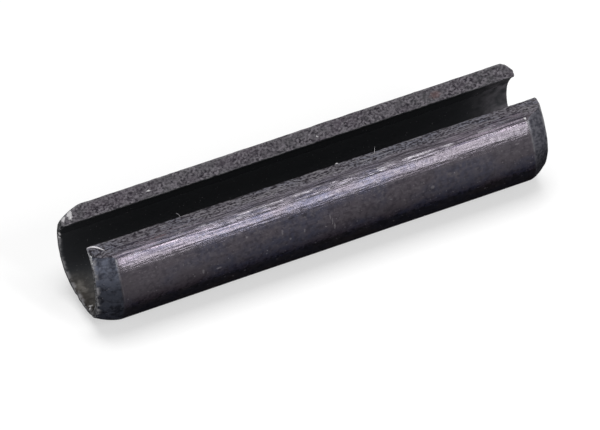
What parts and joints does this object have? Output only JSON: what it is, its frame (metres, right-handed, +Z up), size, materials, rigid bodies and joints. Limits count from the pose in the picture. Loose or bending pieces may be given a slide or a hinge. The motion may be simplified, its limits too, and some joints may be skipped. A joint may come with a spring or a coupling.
{
  "type": "slotted spring pin",
  "caption": "Slotted spring pin: a strip of spring steel rolled into an open tube with tapered ends, driven into a hole to hold two parts together.",
  "frame": {"origin": "on the pin's axis, midway between its two end faces", "axes": "+X along the pin's axis; +Z up, through the slot, with the pin's heavy side straight down; +Y across, on the side of the square flank of the slot"},
  "size_m": [0.0446, 0.0108, 0.0095],
  "materials": {
    "blackened_spring_steel": "dark phosphate over drawn and sheared spring steel, satin, with fine drawing lines along the wall and small nicks"
  },
  "bodies": {
    "root": {"spring_pin": "blackened_spring_steel"}
  },
  "joints": []
}
